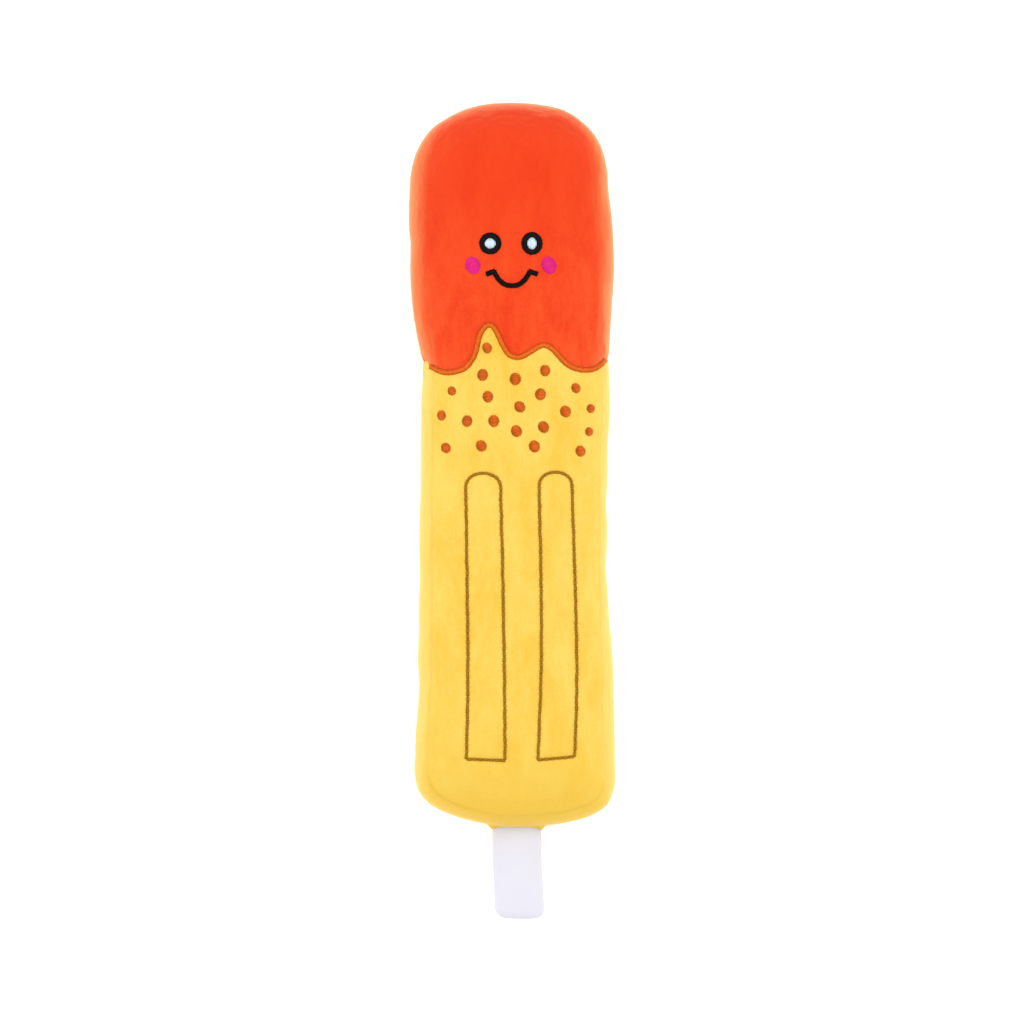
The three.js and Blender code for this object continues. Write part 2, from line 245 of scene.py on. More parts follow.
def velour(name, look):
    # the side colour is painted sheen, paler on what faces sideways, and the colour for the ends is
    # painted shade, deeper where the cloth turns over an end
    material, tree, shader = newMaterial(name)
    coords = addNode(tree, "ShaderNodeTexCoord")
    brushed = addNode(tree, "ShaderNodeMapping", {"Scale": (1, pile["stretch"], 1)}, {
        "Vector": coords.outputs["Object"],
    })
    patches = addNode(tree, "ShaderNodeTexNoise", {
        "Scale": 1 / pile["patch"], "Detail": 3, "Roughness": 0.55, "Distortion": 0.5,
    }, {"Vector": brushed.outputs[0]})
    streaks = addNode(tree, "ShaderNodeTexNoise", {
        "Scale": 1 / pile["streak"], "Detail": 2, "Roughness": 0.6,
    }, {"Vector": brushed.outputs[0]})
    tufts = addNode(tree, "ShaderNodeTexNoise", {
        "Scale": 1 / pile["tuft"], "Detail": 2, "Roughness": 0.7,
    }, {"Vector": coords.outputs["Object"]})
    fine = addNode(tree, "ShaderNodeMix", {"data_type": "FLOAT", "Factor": pile["tuftShare"]}, {
        "A": streaks.outputs["Fac"], "B": tufts.outputs["Fac"],
    })
    both = addNode(tree, "ShaderNodeMix", {"data_type": "FLOAT", "Factor": pile["fineShare"]}, {
        "A": patches.outputs["Fac"], "B": fine.outputs["Result"],
    })
    spread = addNode(tree, "ShaderNodeMapRange", {
        "From Min": pile["strokedAt"], "From Max": pile["uprightAt"],
    }, {"Value": both.outputs["Result"]})
    parts = addNode(tree, "ShaderNodeSeparateXYZ", {}, {"Vector": coords.outputs["Object"]})
    along = addNode(tree, "ShaderNodeMath", {"operation": "ABSOLUTE"}, {"Value": parts.outputs["Y"]})
    endward = addNode(tree, "ShaderNodeMapRange", {
        "From Min": pile["endFrom"], "From Max": pile["endTo"], "To Max": pile["endMost"],
    }, {"Value": along.outputs[0]})
    lying = addNode(tree, "ShaderNodeMix", {"data_type": "FLOAT"}, {
        "Factor": endward.outputs[0], "A": spread.outputs[0],
    })
    tint = addNode(tree, "ShaderNodeMix", {"data_type": "RGBA"}, {"Factor": lying.outputs["Result"]})
    tint.inputs["A"].default_value = linear(look["stroked"])
    tint.inputs["B"].default_value = linear(look["face"])
    # painted shade, deeper where the cloth turns over either end
    endways = addNode(tree, "ShaderNodeAttribute", {"attribute_name": "endways"})
    turning = addNode(tree, "ShaderNodeMapRange", {
        "From Min": pile["tipFrom"], "From Max": pile["tipTo"], "To Max": pile["tipMost"],
    }, {"Value": endways.outputs["Fac"]})
    tip = addNode(tree, "ShaderNodeMix", {"data_type": "RGBA"}, {"Factor": turning.outputs[0]})
    tree.links.new(tint.outputs["Result"], tip.inputs["A"])
    tip.inputs["B"].default_value = linear(look["tip"])
    # painted sheen: the colour is paler where the surface faces sideways
    sideways = addNode(tree, "ShaderNodeAttribute", {"attribute_name": "sideways"})
    aside = addNode(tree, "ShaderNodeMapRange", {
        "From Min": pile["sideSheenFrom"], "From Max": pile["sideSheenTo"], "To Max": pile["sideSheenMost"],
    }, {"Value": sideways.outputs["Fac"]})
    paintedSideSheen = addNode(tree, "ShaderNodeMix", {"data_type": "RGBA"}, {"Factor": aside.outputs[0]})
    tree.links.new(tip.outputs["Result"], paintedSideSheen.inputs["A"])
    paintedSideSheen.inputs["B"].default_value = linear(look["side"])
    # painted shade along the seams
    seam = addNode(tree, "ShaderNodeAttribute", {"attribute_name": "seam"})
    seamShading = addNode(tree, "ShaderNodeMapRange", {"To Max": pile["seamShadeMost"]}, {
        "Value": seam.outputs["Fac"],
    })
    sewn = addNode(tree, "ShaderNodeMix", {"data_type": "RGBA"}, {"Factor": seamShading.outputs[0]})
    tree.links.new(paintedSideSheen.outputs["Result"], sewn.inputs["A"])
    sewn.inputs["B"].default_value = linear(look["seamShade"])
    bump = addNode(tree, "ShaderNodeBump", {
        "Strength": pile["bump"], "Distance": pile["bumpHeight"],
    }, {"Height": fine.outputs["Result"]})
    tree.links.new(sewn.outputs["Result"], shader.inputs["Base Color"])
    tree.links.new(bump.outputs["Normal"], shader.inputs["Normal"])
    shader.inputs["Roughness"].default_value = pile["roughness"]
    shader.inputs["Specular IOR Level"].default_value = pile["gloss"]
    shader.inputs["Sheen Weight"].default_value = look["sheen"]
    shader.inputs["Sheen Roughness"].default_value = look["haze"]
    shader.inputs["Sheen Tint"].default_value = linear(look["glow"])
    return material


# Rayon embroidery thread, 40 weight: smooth filaments, each stitch a little lighter or darker, and with
# painted shade at its ends where it dives into the pile.
def rayon(name, colour, shade, gloss, roughness=0.5):
    material, tree, shader = newMaterial(name)
    toneAndShade = addNode(tree, "ShaderNodeAttribute", {"attribute_name": "toneAndShade"})
    tint = addNode(tree, "ShaderNodeMix", {"data_type": "RGBA"}, {"Factor": toneAndShade.outputs["Fac"]})
    tint.inputs["A"].default_value = linear(shade)
    tint.inputs["B"].default_value = linear(colour)
    tree.links.new(tint.outputs["Result"], shader.inputs["Base Color"])
    shader.inputs["Roughness"].default_value = roughness
    shader.inputs["Specular IOR Level"].default_value = gloss
    return material


def mark(obj, name, values):
    marked = obj.data.attributes.new(name, "FLOAT", "POINT")
    marked.data.foreach_set("value", values)


# How a copy of the CAD solids becomes an even mesh for the cloth, and a fine one after it.
evening = {
    "smooth": 0.5,
    "swell": -0.53,  # back after each smoothing, so that the corners keep their size
    "iterations": 2,
    "levels": 2,
}


def evenMesh(obj, values):
    remesh = obj.modifiers.new("even", "REMESH")
    remesh.mode = "VOXEL"
    remesh.voxel_size = values["voxel"]
    for _ in range(values["smoothing"]):
        for factor in (evening["smooth"], evening["swell"]):
            smooth = obj.modifiers.new("smooth", "SMOOTH")
            smooth.factor = factor
            smooth.iterations = evening["iterations"]
    applyModifiers(obj)


def fineMesh(obj):
    subdivide = obj.modifiers.new("fine", "SUBSURF")
    subdivide.levels = evening["levels"]
    subdivide.render_levels = evening["levels"]
    applyModifiers(obj)


def finishPiece(obj, name, material, replaced):
    obj.name = name
    obj.data.name = name
    obj.data.materials.clear()
    obj.data.materials.append(material)
    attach(obj, "root")
    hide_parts(*replaced)


# What the stitching follows, read from the CAD solids. A raised column of stitches has its crest
# straight above the middle of its base, so those two corners share a place in plan, compared to a
# micrometre.
def middleLine(nodeName):
    seen = {}
    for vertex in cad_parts[nodeName].data.vertices:
        x, y, z = vertex.co
        seen.setdefault((round(x, 6), round(y, 6)), set()).add(round(z, 5))
    left = [Vector(place) for place, heights in seen.items() if len(heights) == 2]
    here = min(left, key=lambda p: p.x)
    line = []
    while left:
        here = min(left, key=lambda p: (p - here).length)
        left.remove(here)
        line.append(here)
    return line


# Past the solids' stitching the drip's edge climbs a little, over the rounded edges to the sides.
climb = {
    "left": [(-4.0, 2.5), (-2.6, 1.6), (-1.3, 0.6)],  # mm from the end of the stitching
    "right": [(1.1, 0.9), (2.0, 2.4)],
    "stitched": slice(2, None),  # the outer steps on the left are bare
}
dripLine = middleLine("drip_stitching")
leftEnd = [dripLine[0] + Vector(step) * mm for step in climb["left"]]
rightEnd = [dripLine[-1] + Vector(step) * mm for step in climb["right"]]
dripLine = leftEnd + dripLine + rightEnd
slotLines = {side: middleLine("slot_stitching_" + side) for side in ("left", "right")}
print("stitch lines read:", len(dripLine), {side: len(line) for side, line in slotLines.items()})


# The stuffed body: one bag, blown up with its panel seams held, then cut into the two colours.
stuffing = {
    "voxel": 2.5 * mm,
    "smoothing": 3,
    "slack": 0.4 * mm,  # the bag starts this much smaller than the solids, and swells back
    "pressure": 60,
    "frames": 20,
    "most": 2.0 * mm,
    "held": 1.6 * mm,  # how far from a seam the cloth is held
    "heldFade": 1.5,  # it is free past this many times that
    "taut": 10,  # passes that draw the wrinkles out, as tight stuffing does
}
seams = {
    "valley": -math.radians(9),  # the solids' only valleys that run level are the panel seams
    "level": 0.5,  # a seam climbs less than this share of its length
    "step": 0.4 * mm,  # between the points that stand for a seam
    "near": 1.6 * mm,  # they lie this near the outside, which leaves out the cut between the colours
    "depth": 0.55 * mm,
    "frontDepth": 0.08 * mm,  # the front's own seam is drawn so tight that it hardly sinks
    "frontSeamShade": 0.6,
    "frontFrom": 15 * mm,
    "frontTo": 25 * mm,
    "width": 1.3 * mm,
    "seamShadeWidth": 0.7 * mm,  # the dark line at a seam, where the pile parts, drawn with painted shade
    "pucker": 1.3 * mm,
    "puckerLength": 6 * mm,
    "puckerReach": 7 * mm,
    "puckerFront": 0.1,  # the front is drawn tight, so it shows this share of the puckers
}

plush = copyOfNodes("plush", ["orange_top", "yellow_body"])
shell = bmesh.new()
shell.from_mesh(plush.data)
valleys = []
for edge in shell.edges:
    if len(edge.link_faces) == 2 and edge.calc_face_angle_signed() < seams["valley"]:
        a, b = (vertex.co.copy() for vertex in edge.verts)
        if abs(a.z - b.z) < seams["level"] * (a - b).length:
            valleys.append((a, b))
shell.free()

evenMesh(plush, stuffing)
outside = BVHTree.FromObject(plush, bpy.context.evaluated_depsgraph_get())
seamPoints = []
for a, b in valleys:
    steps = max(1, round((b - a).length / seams["step"]))
    for i in range(steps):
        point = a.lerp(b, i / steps)
        if outside.find_nearest(point)[3] < seams["near"]:
            seamPoints.append(point)
seamTree = treeOf(seamPoints)
print("bag remeshed:", len(plush.data.vertices), "points,", len(seamPoints), "on the seams")


def evenOut(obj, moves, passes):
    # each point's move is drawn towards its neighbours', so that the cloth stays taut
    pairs = np.empty(len(obj.data.edges) * 2, dtype=int)
    obj.data.edges.foreach_get("vertices", pairs)
    a, b = pairs.reshape(-1, 2).T
    count = np.bincount(pairs, minlength=len(moves))[:, None]
    for _ in range(passes):
        total = np.zeros_like(moves)
        np.add.at(total, a, moves[b])
        np.add.at(total, b, moves[a])
        moves = (moves + total / count) / 2
    return moves


knit = {  # settings of the cloth simulation, under their own names
    "quality": 5,
    "mass": 0.02,
    "tension_stiffness": 20,
    "compression_stiffness": 20,
    "shear_stiffness": 8,
    "bending_stiffness": 0.4,
    "shrink_min": -0.02,
}
leastHold = 0.01  # a point held less than this is free


def blowUp(obj, held, values):
    # cloth with air pressure inside: the held part stays, the rest swells by at most values["most"]
    sewn = placesOf(obj)
    before = sewn - normalsOf(obj) * values["slack"] * (1 - held)[:, None]
    moveTo(obj, before)
    group = obj.vertex_groups.new(name="held")
    for index, weight in enumerate(held):
        if weight > leastHold:
            group.add([index], float(weight), "REPLACE")
    cloth = obj.modifiers.new("filling", "CLOTH")
    for setting, value in knit.items():
        setattr(cloth.settings, setting, value)
    cloth.settings.use_pressure = True
    cloth.settings.uniform_pressure_force = values["pressure"]
    cloth.settings.vertex_group_mass = "held"
    cloth.settings.effector_weights.gravity = 0
    cloth.collision_settings.use_collision = False
    cloth.point_cache.frame_start = 1
    cloth.point_cache.frame_end = values["frames"]
    for step in range(1, values["frames"] + 1):
        bpy.context.scene.frame_set(step)
    applyModifiers(obj)
    bpy.context.scene.frame_set(1)
    obj.vertex_groups.clear()
    swell = placesOf(obj) - before
    size = np.linalg.norm(swell, axis=1)
    print("swollen by", round(size.mean() / mm, 2), "mm, at most", round(size.max() / mm, 2))
    scale = np.minimum(1, values["most"] / np.maximum(size, 1e-9))
    moves = before + swell * scale[:, None] - sewn
    return sewn + evenOut(obj, moves, values["taut"])


seamReach = distancesTo(seamTree, placesOf(plush))
held = np.clip(stuffing["heldFade"] - seamReach / stuffing["held"], 0, 1)
moveTo(plush, blowUp(plush, held, stuffing))

fineMesh(plush)
print("bag blown up and refined:", len(plush.data.vertices), "points")

# The seams, and the valleys that tight stitches pull into the pile.
pulled = {
    "drip": (0.8 * mm, 2.0 * mm),  # depth, reach
    "slots": (0.6 * mm, 1.3 * mm),
    "step": 0.5 * mm,  # between the points that stand for a line of stitches
    "join": 0.5 * mm,  # depth of the straight seam round the sides and back
    "front": 26 * mm,  # stitches are only on the front, above this height
    "frontMargin": 4 * mm,  # the straight seam ends this far above it
    "lump": 0.35 * mm,
    "lumpLength": 26 * mm,
    "sideLumps": 1.3,  # the side panels hold the stuffing less evenly
    "tuft": 0.08 * mm,
    "tuftLength": 1.7 * mm,
}
places = placesOf(plush)
normals = normalsOf(plush)
mark(plush, "sideways", np.abs(normals[:, 0]))
mark(plush, "endways", np.abs(normals[:, 1]))
reach = np.empty(len(places))
puckers = np.empty(len(places))
for index, place in enumerate(places):
    seamPlace, _, distance = seamTree.find(place)
    reach[index] = distance
    puckers[index] = noise.noise(seamPlace / seams["puckerLength"])  # so a pucker runs out from the seam
forward = np.clip((places[:, 2] - seams["frontFrom"]) / (seams["frontTo"] - seams["frontFrom"]), 0, 1)
sink = seams["depth"] + (seams["frontDepth"] - seams["depth"]) * forward
sink *= np.exp(-(reach / seams["width"]) ** 2)
beside = np.exp(-(reach / seams["puckerReach"]) ** 2) - np.exp(-(reach / seams["width"]) ** 2)
leaning = 1 - np.abs(normals[:, 2])
sink += seams["pucker"] * puckers * beside * (seams["puckerFront"] + (1 - seams["puckerFront"]) * leaning)

joinLeft, joinRight = dripLine[0], dripLine[-1]
across = np.clip((places[:, 0] - joinLeft.x) / (joinRight.x - joinLeft.x), 0, 1)
joinHeight = joinLeft.y + (joinRight.y - joinLeft.y) * across
joinEnd = pulled["front"] + pulled["frontMargin"]
onFront = (places[:, 2] > joinEnd) & (across > 0) & (across < 1)
joinReach = np.where(onFront, farOff, np.abs(places[:, 1] - joinHeight))
sink = np.maximum(sink, pulled["join"] * np.exp(-(joinReach / seams["width"]) ** 2))

flatPlaces = places * (1, 1, 0)
frontward = places[:, 2] > pulled["front"]
lines = {"drip": [dripLine], "slots": list(slotLines.values())}
for name, group in lines.items():
    depth, width = pulled[name]
    points = []
    for line in group:
        points += [p.to_3d() for p, _ in alongLine(line, pulled["step"], closed=name == "slots")]
    lineTree = treeOf(points)
    stitchReach = np.full(len(places), farOff)
    stitchReach[frontward] = distancesTo(lineTree, flatPlaces[frontward])
    sink = np.maximum(sink, depth * np.exp(-(stitchReach / width) ** 2))
lumps = np.array([noise.noise(Vector(place) / pulled["lumpLength"]) for place in places])
tufts = np.array([noise.noise(Vector(place) / pulled["tuftLength"]) for place in places])
rise = pulled["lump"] * lumps * (1 + pulled["sideLumps"] * leaning) + pulled["tuft"] * tufts
places += normals * (rise - sink)[:, None]
# Painted shade along the seams and the join, where the pile parts and the groove lies in shade.
seamShadeMask = np.exp(-(reach / seams["seamShadeWidth"]) ** 2) * (1 + (seams["frontSeamShade"] - 1) * forward)
joinShadeMask = np.exp(-(joinReach / seams["seamShadeWidth"]) ** 2)
mark(plush, "seam", np.maximum(seamShadeMask, joinShadeMask))

# Round the root of the stick the yellow is drawn out along it, most at the stick's two edges.
root = {
    "middle": 1.8 * mm,
    "halfWidth": 9.1 * mm,
    "halfThickness": 4.5 * mm,
    "draw": 1.7 * mm,
    "reach": 2.0 * mm,
    "below": -105 * mm,
    "round": 3 * mm,
    "flat": 0.1,  # share of the draw along the flat faces, between the edges
}
stickLow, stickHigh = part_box("stick")
stickZ = (stickLow.z + stickHigh.z) / 2
aside = np.abs(places[:, 0] - root["middle"])
overX = aside - root["halfWidth"] + root["round"]
overZ = np.abs(places[:, 2] - stickZ) - root["halfThickness"] + root["round"]
outX = np.maximum(overX, 0)
outZ = np.maximum(overZ, 0)
away = np.hypot(outX, outZ) + np.minimum(np.maximum(overX, overZ), 0) - root["round"]
near = np.clip(1 - away / root["reach"], 0, 1) ** 2
edge = np.clip(aside / root["halfWidth"], 0, 1) ** 4
drawn = root["draw"] * near * (root["flat"] + (1 - root["flat"]) * edge)
places[:, 1] -= np.where(places[:, 1] < root["below"], drawn, 0)

# Small pushes where the photograph's outline is a millimetre away from the solids' own.
trim = {
    "crown": 1.2 * mm,  # the very top leans this far to the right
    "crownFrom": 142 * mm,
    "crownTo": 148 * mm,
    "foot": 0.025,  # and the bottom corners are fuller by this share
    "footFrom": -90 * mm,
    "footTo": -102 * mm,
}
crown = np.clip((places[:, 1] - trim["crownFrom"]) / (trim["crownTo"] - trim["crownFrom"]), 0, 1)
foot = np.clip((places[:, 1] - trim["footFrom"]) / (trim["footTo"] - trim["footFrom"]), 0, 1)
places[:, 0] += trim["crown"] * crown + trim["foot"] * foot * (places[:, 0] - root["middle"])

places[:, 2] = np.maximum(places[:, 2], 0)
moveTo(plush, places)
print("seams and stitch valleys pressed in")

skin = BVHTree.FromObject(plush, bpy.context.evaluated_depsgraph_get())
overhead = 0.2  # well above the toy


def skinAt(x, y):
    # the place on the front of the plush, and the way it faces
    place, normal, _, _ = skin.ray_cast(Vector((x, y, overhead)), Vector((0, 0, -1)))
    if place is None:  # just past the side
        place, normal, _, _ = skin.find_nearest(Vector((x, y, pulled["front"])))
    return place, normal


# The cutter takes all above the join: wavy through the front, straight round the sides and back.
cutter = {
    "past": 60 * mm,  # how far it reaches past the sides, the front and the back
    "high": 200 * mm,
    "wavyFrom": 29.5 * mm,
    "straightTo": 30.5 * mm,
    "sharp": math.radians(50),  # the cut's own edges stay sharp
}


def prism(line, low, high):
    past = cutter["past"]
    top = cutter["high"]
    outline = [*line, Vector((past, line[-1].y)), Vector((past, top)), Vector((-past, top))]
    outline.append(Vector((-past, line[0].y)))
    mesh = bpy.data.meshes.new("prism")
    mesh.from_pydata([(p.x, p.y, low) for p in outline], [], [range(len(outline))])
    obj = bpy.data.objects.new("prism", mesh)
    bpy.context.scene.collection.objects.link(obj)
    selectOnly(obj)
    bpy.ops.object.mode_set(mode="EDIT")
    bpy.ops.mesh.select_all(action="SELECT")
    bpy.ops.mesh.extrude_region_move(TRANSFORM_OT_translate={"value": (0, 0, high - low)})
    bpy.ops.mesh.select_all(action="SELECT")
    bpy.ops.mesh.normals_make_consistent(inside=False)
    bpy.ops.object.mode_set(mode="OBJECT")
    return obj


def combine(obj, other, operation):
    modifier = obj.modifiers.new("cut", "BOOLEAN")
    modifier.operation = operation
    modifier.solver = "MANIFOLD"
    modifier.object = other
    applyModifiers(obj)


above = prism(dripLine, cutter["wavyFrom"], cutter["past"])
below = prism([joinLeft, joinRight], -cutter["past"], cutter["straightTo"])
combine(above, below, "UNION")
orange = plush
yellow = plush.copy()
yellow.data = plush.data.copy()
bpy.context.scene.collection.objects.link(yellow)
combine(orange, above, "INTERSECT")
combine(yellow, above, "DIFFERENCE")
bpy.data.objects.remove(above)
bpy.data.objects.remove(below)
for obj in (orange, yellow):
    selectOnly(obj)
    bpy.ops.object.shade_smooth_by_angle(angle=cutter["sharp"])
orangeLook = {
    "face": "DF4A1E",
    "stroked": "D33313",
    # the next colour is painted sheen, the paler colour of what faces sideways
    "side": "DE6C38",
    # the next colour is painted shade, deeper where the cloth turns over an end
    "tip": "CE1E06",
    # the next colour is painted shade for the seams
    "seamShade": "A62008",
    "glow": "FFE2A4",  # of the pile seen side on
    "sheen": 0.66,  # the strength of that
    "haze": 0.48,  # and how far it spreads
}
yellowLook = {
    "face": "DCBF59",
    "stroked": "DBB242",
    "side": "DABE60",
    "tip": "DAB038",
    "seamShade": "AC8420",
    "glow": "FFF0B8",
    "sheen": 0.55,
    "haze": 0.44,
}
orangeVelour = velour("orange_velour", orangeLook)
yellowVelour = velour("yellow_velour", yellowLook)
finishPiece(orange, "orange_cover", orangeVelour, ["orange_top"])
finishPiece(yellow, "yellow_cover", yellowVelour, ["yellow_body"])
print("covers cut:", len(orange.data.polygons), "and", len(yellow.data.polygons), "faces")


# The stick: a flat felt tongue, lightly stuffed, sewn round its edge.
stickValues = {
    "voxel": 1.1 * mm,
    "smoothing": 2,
    "slack": 0.3 * mm,
    "pressure": 60,
    "frames": 20,
    "most": 0.8 * mm,
    "taut": 5,
    "seam": 0.35 * mm,
    "seamWidth": 0.7 * mm,
    "lump": 0.25 * mm,
    "lumpLength": 9 * mm,
    "rim": 0.3,  # its rim is held, where the cloth faces up or down by less than this
    "rimFade": 1.3,  # it is free past this many times that
    "tucked": 3 * mm,  # how far the root goes into the body
    "rootLength": 4 * mm,  # and what length of it is drawn out for that
    "wide": 1.03,  # felt let out sideways, a little more towards the tip
    "tipWide": 0.03,
    "leanFrom": 1.8 * mm,  # its middle line, at the root and at the tip
    "leanTo": 3.1 * mm,
}
stick = copyOfNodes("stick", ["stick"])
evenMesh(stick, stickValues)
edgeOn = np.abs(normalsOf(stick)[:, 2])
held = np.clip(stickValues["rimFade"] - edgeOn / stickValues["rim"], 0, 1)
moveTo(stick, blowUp(stick, held, stickValues))
fineMesh(stick)
places = placesOf(stick)
normals = normalsOf(stick)
edgeReach = np.abs(places[:, 2] - stickZ)
sink = stickValues["seam"] * np.exp(-(edgeReach / stickValues["seamWidth"]) ** 2)
lumps = np.array([noise.noise(Vector(place) / stickValues["lumpLength"]) for place in places])
places += normals * (stickValues["lump"] * lumps - sink)[:, None]
tipward = np.clip((stickHigh.y - places[:, 1]) / (stickHigh.y - stickLow.y), 0, 1)
middle = stickValues["leanFrom"] + (stickValues["leanTo"] - stickValues["leanFrom"]) * tipward
wide = stickValues["wide"] + stickValues["tipWide"] * tipward
places[:, 0] = middle + (places[:, 0] - middle) * wide
rootward = np.clip((places[:, 1] - stickHigh.y) / stickValues["rootLength"] + 1, 0, 1)
places[:, 1] += rootward * stickValues["tucked"]
moveTo(stick, places)
selectOnly(stick)
bpy.ops.object.shade_smooth()
mark(stick, "sideways", np.zeros(len(places)))
mark(stick, "endways", np.zeros(len(places)))
# painted shade along the stick's edge seam
mark(stick, "seam", np.exp(-(edgeReach / stickValues["seamWidth"]) ** 2))

# Needled polyester felt: matt and cool white, faintly clouded, its fibres too short to glow much.
feltLook = {
    "face": "D4D4DD",
    "stroked": "CFCED8",
    "side": "D4D4DD",
    "tip": "CFCED8",
    "seamShade": "A8A6B2",
    "glow": "F4F2FF",
    "sheen": 0.15,
    "haze": 0.42,
}
whiteFelt = velour("white_felt", feltLook)
finishPiece(stick, "stick_felt", whiteFelt, ["stick"])
print("stick made:", len(stick.data.polygons), "faces")


sewing = {
    "sides": 6,
    "cuts": 4,  # along a thread, so that it can bow
    "satin": 0.46 * mm,  # thickness of a thread as laid
    "taper": 0.45,  # how much thinner it is at its ends
    "spacing": 0.40 * mm,
    "dig": 0.2 * mm,  # how far each end goes into the cloth
    "uneven": 0.08 * mm,
    "dome": 0.6,  # how much lower a patch is at its rim than in its middle
    "fewest": 3,  # threads in the smallest patch
    "endShadeFall": 2.2,  # more keeps the painted shade nearer to a thread's ends
    "tones": (0.6, 0),  # tone of the darkest threads, where 1 is the lightest, and no painted shade towards one end
}

# One embroidery thread, from needle hole to needle hole, is modelled once and then laid again and
# again. It is a metre long and a metre thick until it is laid.
bpy.ops.object.select_all(action="DESELECT")
bpy.ops.mesh.primitive_cylinder_add(
    vertices=sewing["sides"], radius=0.5, depth=1, rotation=(0, math.pi / 2, 0)
)
thread = bpy.context.object
bpy.ops.object.transform_apply(rotation=True)
bpy.ops.object.mode_set(mode="EDIT")
bpy.ops.mesh.select_all(action="DESELECT")
bpy.ops.object.mode_set(mode="OBJECT")
for edge in thread.data.edges:
    a, b = (thread.data.vertices[i].co for i in edge.vertices)
    edge.select = abs(a.x - b.x) > 0.5  # the edges that run along it
bpy.ops.object.mode_set(mode="EDIT")
bpy.ops.mesh.subdivide(number_cuts=sewing["cuts"])
bpy.ops.object.mode_set(mode="OBJECT")
bpy.ops.object.shade_smooth()
threadPlaces = placesOf(thread)
# painted shade: each thread is darker towards its ends, where it dives into the pile
threadEndShade = 1 - np.abs(2 * threadPlaces[:, 0]) ** sewing["endShadeFall"]


def layThread(a, b, up, thickness, rise, tones=sewing["tones"]):
    # the second tone is painted shade, towards the thread's start, or towards its end where it is
    # negative
    darkest, shaded = tones
    across = b - a
    side = up.cross(across).normalized()
    lift = across.cross(side).normalized()
    along, sideways, upward = threadPlaces.T
    bow = 1 - (2 * along) ** 2
    taper = 1 - sewing["taper"] * (2 * along) ** 4
    middle = np.array((a + b) / 2)
    laid = middle + np.outer(along, across) + np.outer(sideways * taper * thickness, side)
    laid += np.outer(upward * taper * thickness + rise * bow - sewing["dig"] * (1 - bow), lift)
    mesh = thread.data.copy()
    mesh.vertices.foreach_set("co", laid.ravel())
    toneAndShade = mesh.attributes.new("toneAndShade", "FLOAT", "POINT")
    shadow = abs(shaded) * (0.5 - math.copysign(1, shaded) * along)
    toneAndShade.data.foreach_set("value", dice.uniform(darkest, 1) * threadEndShade * (1 - shadow))
    obj = bpy.data.objects.new("thread", mesh)
    bpy.context.scene.collection.objects.link(obj)
    return obj


def embroider(name, threads, material, replaced):
    selectOnly(*threads)
    bpy.ops.object.join()
    piece = bpy.context.view_layer.objects.active
    finishPiece(piece, name, material, replaced)


def jitter(amount):
    return dice.uniform(-amount, amount)


def satinColumn(line, width, rise, tones=sewing["tones"]):
    threads = []
    for place, direction in alongLine(line, sewing["spacing"]):
        side = Vector((direction.y, -direction.x))
        half = width / 2
        a = place - side * (half + jitter(sewing["uneven"]))
        b = place + side * (half + jitter(sewing["uneven"]))
        start, up = skinAt(a.x, a.y)
        end, _ = skinAt(b.x, b.y)
        threads.append(layThread(start, end, up, sewing["satin"], rise, tones))
    return threads


def satinPatch(centre, across, along, turn, rise, tones=sewing["tones"]):
    # parallel threads over an ellipse, highest in the middle
    threads = []
    direction = Vector((math.cos(turn), math.sin(turn)))
    step = Vector((-direction.y, direction.x))
    last = along - sewing["satin"] / 2
    count = max(sewing["fewest"], round(2 * last / sewing["spacing"]) + 1)
    for i in range(count):
        aside = last * (2 * i / (count - 1) - 1)
        half = across * math.sqrt(1 - (aside / along) ** 2) + sewing["dig"] / 2
        middle = centre + step * aside
        a = middle - direction * (half + jitter(sewing["uneven"]))
        b = middle + direction * (half + jitter(sewing["uneven"]))
        start, up = skinAt(a.x, a.y)
        end, _ = skinAt(b.x, b.y)
        height = rise * (1 - sewing["dome"] * (aside / along) ** 2)
        threads.append(layThread(start, end, up, sewing["satin"], height, tones))
    return threads


def satinRing(centre, inner, outer, rise):
    # threads that run outwards, from an oval to a larger one
    threads = []
    count = round(2 * math.pi * max(outer) / sewing["spacing"])
    for i in range(count):
        angle = 2 * math.pi * i / count
        away = Vector((math.cos(angle), math.sin(angle)))
        far = 1 + jitter(sewing["uneven"]) / outer[0]
        a = centre + Vector((away.x * inner[0], away.y * inner[1]))
        b = centre + Vector((away.x * outer[0], away.y * outer[1])) * far
        start, up = skinAt(a.x, a.y)
        end, _ = skinAt(b.x, b.y)
        threads.append(layThread(start, end, up, sewing["satin"], rise))
    return threads


rustRayon = rayon("rust_rayon", "EE7018", "8A3E02", 0.15)
brownRayon = rayon("brown_rayon", "A2700C", "845808", 0.1)
blackRayon = rayon("black_rayon", "140C0A", "0C0605", 0.08)
whiteRayon = rayon("white_rayon", "D0DFEA", "B4C4D0", 0.3)
pinkRayon = rayon("pink_rayon", "DC2284", "B81860", 0.15)

# the drip's stitches carry painted shade towards their ends on the yellow side
drip = {"width": 2.2 * mm, "rise": 0.45 * mm, "tones": (0.8, -0.3)}
threads = satinColumn(dripLine[climb["stitched"]], drip["width"], drip["rise"], drip["tones"])
embroider("drip_satin", threads, rustRayon, ["drip_stitching"])

# The slots are outlined in triple stitch: short stitches, each sewn three times side by side.
triple = {
    "length": 2.1 * mm,
    "thickness": 0.5 * mm,
    "apart": 0.36 * mm,
    "apartEither": 0.06 * mm,
    "rise": 0.25 * mm,
    "overlap": 0.25 * mm,  # each stitch starts a little before the last one ends
    "wobble": 0.12 * mm,
    "corner": math.radians(40),  # a sharper turn than this is a corner
}


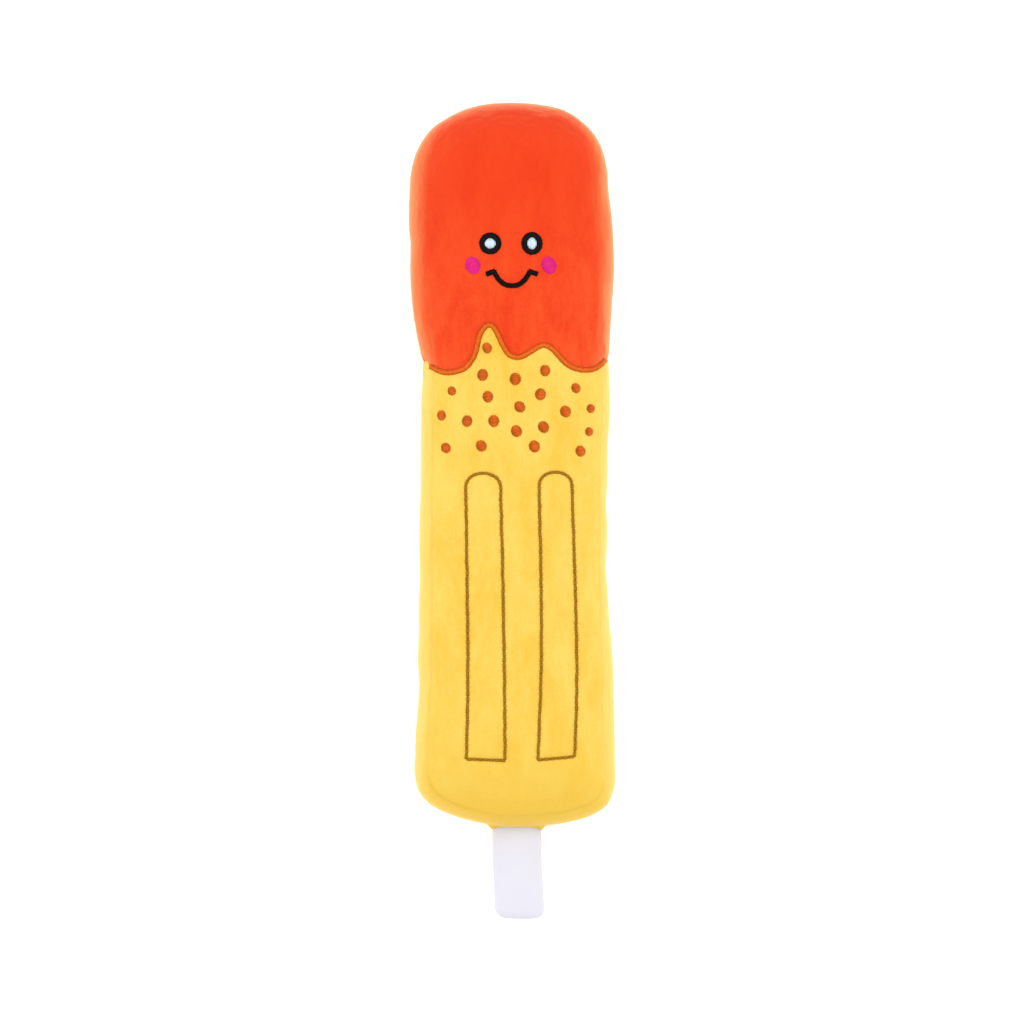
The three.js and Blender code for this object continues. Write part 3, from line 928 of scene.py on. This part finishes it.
def stitchStops(line, length):
    # a needle hole in every corner, and even stitches from one corner to the next
    corners = []
    for i, here in enumerate(line):
        past = line[(i + 1) % len(line)]
        if (here - line[i - 1]).angle(past - here) > triple["corner"]:
            corners.append(i)
    stops = []
    for i, j in zip(corners, corners[1:] + [corners[0] + len(line)]):
        run = [line[k % len(line)] for k in range(i, j + 1)]
        total = sum((b - a).length for a, b in zip(run, run[1:]))
        count = max(1, round(total / length))
        stops += [p for p, _ in alongLine(run, total / count)][:count]
    return stops


for side, line in slotLines.items():
    threads = []
    stops = [p + Vector((jitter(triple["wobble"]), 0)) for p in stitchStops(line, triple["length"])]
    for a, b in zip(stops, stops[1:] + stops[:1]):
        direction = (b - a).normalized()
        sideways = Vector((direction.y, -direction.x))
        a = a - direction * triple["overlap"]
        for k in (-1, 1, 0):
            shift = sideways * (k * triple["apart"] + jitter(triple["apartEither"]))
            start, up = skinAt(a.x + shift.x, a.y + shift.y)
            end, _ = skinAt(b.x + shift.x, b.y + shift.y)
            threads.append(layThread(start, end, up, triple["thickness"], triple["rise"]))
    embroider("slot_outline_" + side, threads, brownRayon, ["slot_stitching_" + side])

# the dots' stitches carry painted shade towards their left ends, as if lit from the right
dots = {"turn": math.radians(15), "turnEither": 0.4, "rise": 0.55 * mm, "tones": (0.6, 0.6)}
for node in sorted(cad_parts):
    if node.startswith("dot_"):
        low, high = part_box(node)
        centre = ((low + high) / 2).to_2d()
        radius = (high.x - low.x) / 2
        turn = dots["turn"] + jitter(dots["turnEither"])
        threads = satinPatch(centre, radius, radius, turn, dots["rise"], dots["tones"])
        embroider(node.replace("dot", "stitched_dot"), threads, rustRayon, [node])

eyes = {
    "outer": {"left": (4.25, 4.2), "right": (4.1, 4.35)},  # half width and half height in mm
    "white": {"left": (1.95, 2.15), "right": (1.65, 2.55)},
    "under": 0.8,  # the ring's threads start this far out in the white, which covers their ends
    "rise": 0.5 * mm,
    "whiteRise": 0.9 * mm,
}
cheekValues = {"turn": math.radians(20), "rise": 0.4 * mm}
for side in ("left", "right"):
    low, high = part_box("eye_ring_" + side)
    centre = ((low + high) / 2).to_2d()
    outer = [half * mm for half in eyes["outer"][side]]
    across, along = [half * mm for half in eyes["white"][side]]
    inner = (across * eyes["under"], along * eyes["under"])
    threads = satinRing(centre, inner, outer, eyes["rise"])
    embroider("eye_satin_" + side, threads, blackRayon, ["eye_ring_" + side])
    threads = satinPatch(centre, along, across, math.pi / 2, eyes["whiteRise"])
    embroider("eye_shine_" + side, threads, whiteRayon, ["eye_white_" + side])
    low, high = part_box("cheek_" + side)
    centre = ((low + high) / 2).to_2d()
    radius = (high.x - low.x) / 2
    threads = satinPatch(centre, radius, radius, cheekValues["turn"], cheekValues["rise"])
    embroider("cheek_fill_" + side, threads, pinkRayon, ["cheek_" + side])

smileValues = {
    "middle": (0.15 * mm, 87.9 * mm),
    "half": 6.65 * mm,
    "drop": 5.3 * mm,
    "fullness": 2.6,  # 2 is a parabola, and more is squarer
    "tick": 2.8 * mm,
    "tickFall": 1.1 * mm,
    "tickUnder": 0.4 * mm,  # how far inside the mouth's end each tick starts
    "width": 2.2 * mm,
    "rise": 0.45 * mm,
    "steps": 13,
}
mouthMiddle = Vector(smileValues["middle"])
mouth = []
for i in range(-smileValues["steps"], smileValues["steps"] + 1):
    share = i / smileValues["steps"]
    sag = smileValues["drop"] * (1 - abs(share) ** smileValues["fullness"])
    mouth.append(mouthMiddle + Vector((smileValues["half"] * share, -sag)))
threads = satinColumn(mouth, smileValues["width"], smileValues["rise"])
for end in (mouth[0], mouth[-1]):
    sign = math.copysign(1, end.x)
    outer = end + Vector((sign * smileValues["tick"], -smileValues["tickFall"]))
    inner = end - Vector((sign * smileValues["tickUnder"], 0))
    threads += satinColumn([inner, outer], smileValues["width"], smileValues["rise"])
embroider("smile_satin", threads, blackRayon, ["smile"])
bpy.data.objects.remove(thread)
print("embroidery laid")
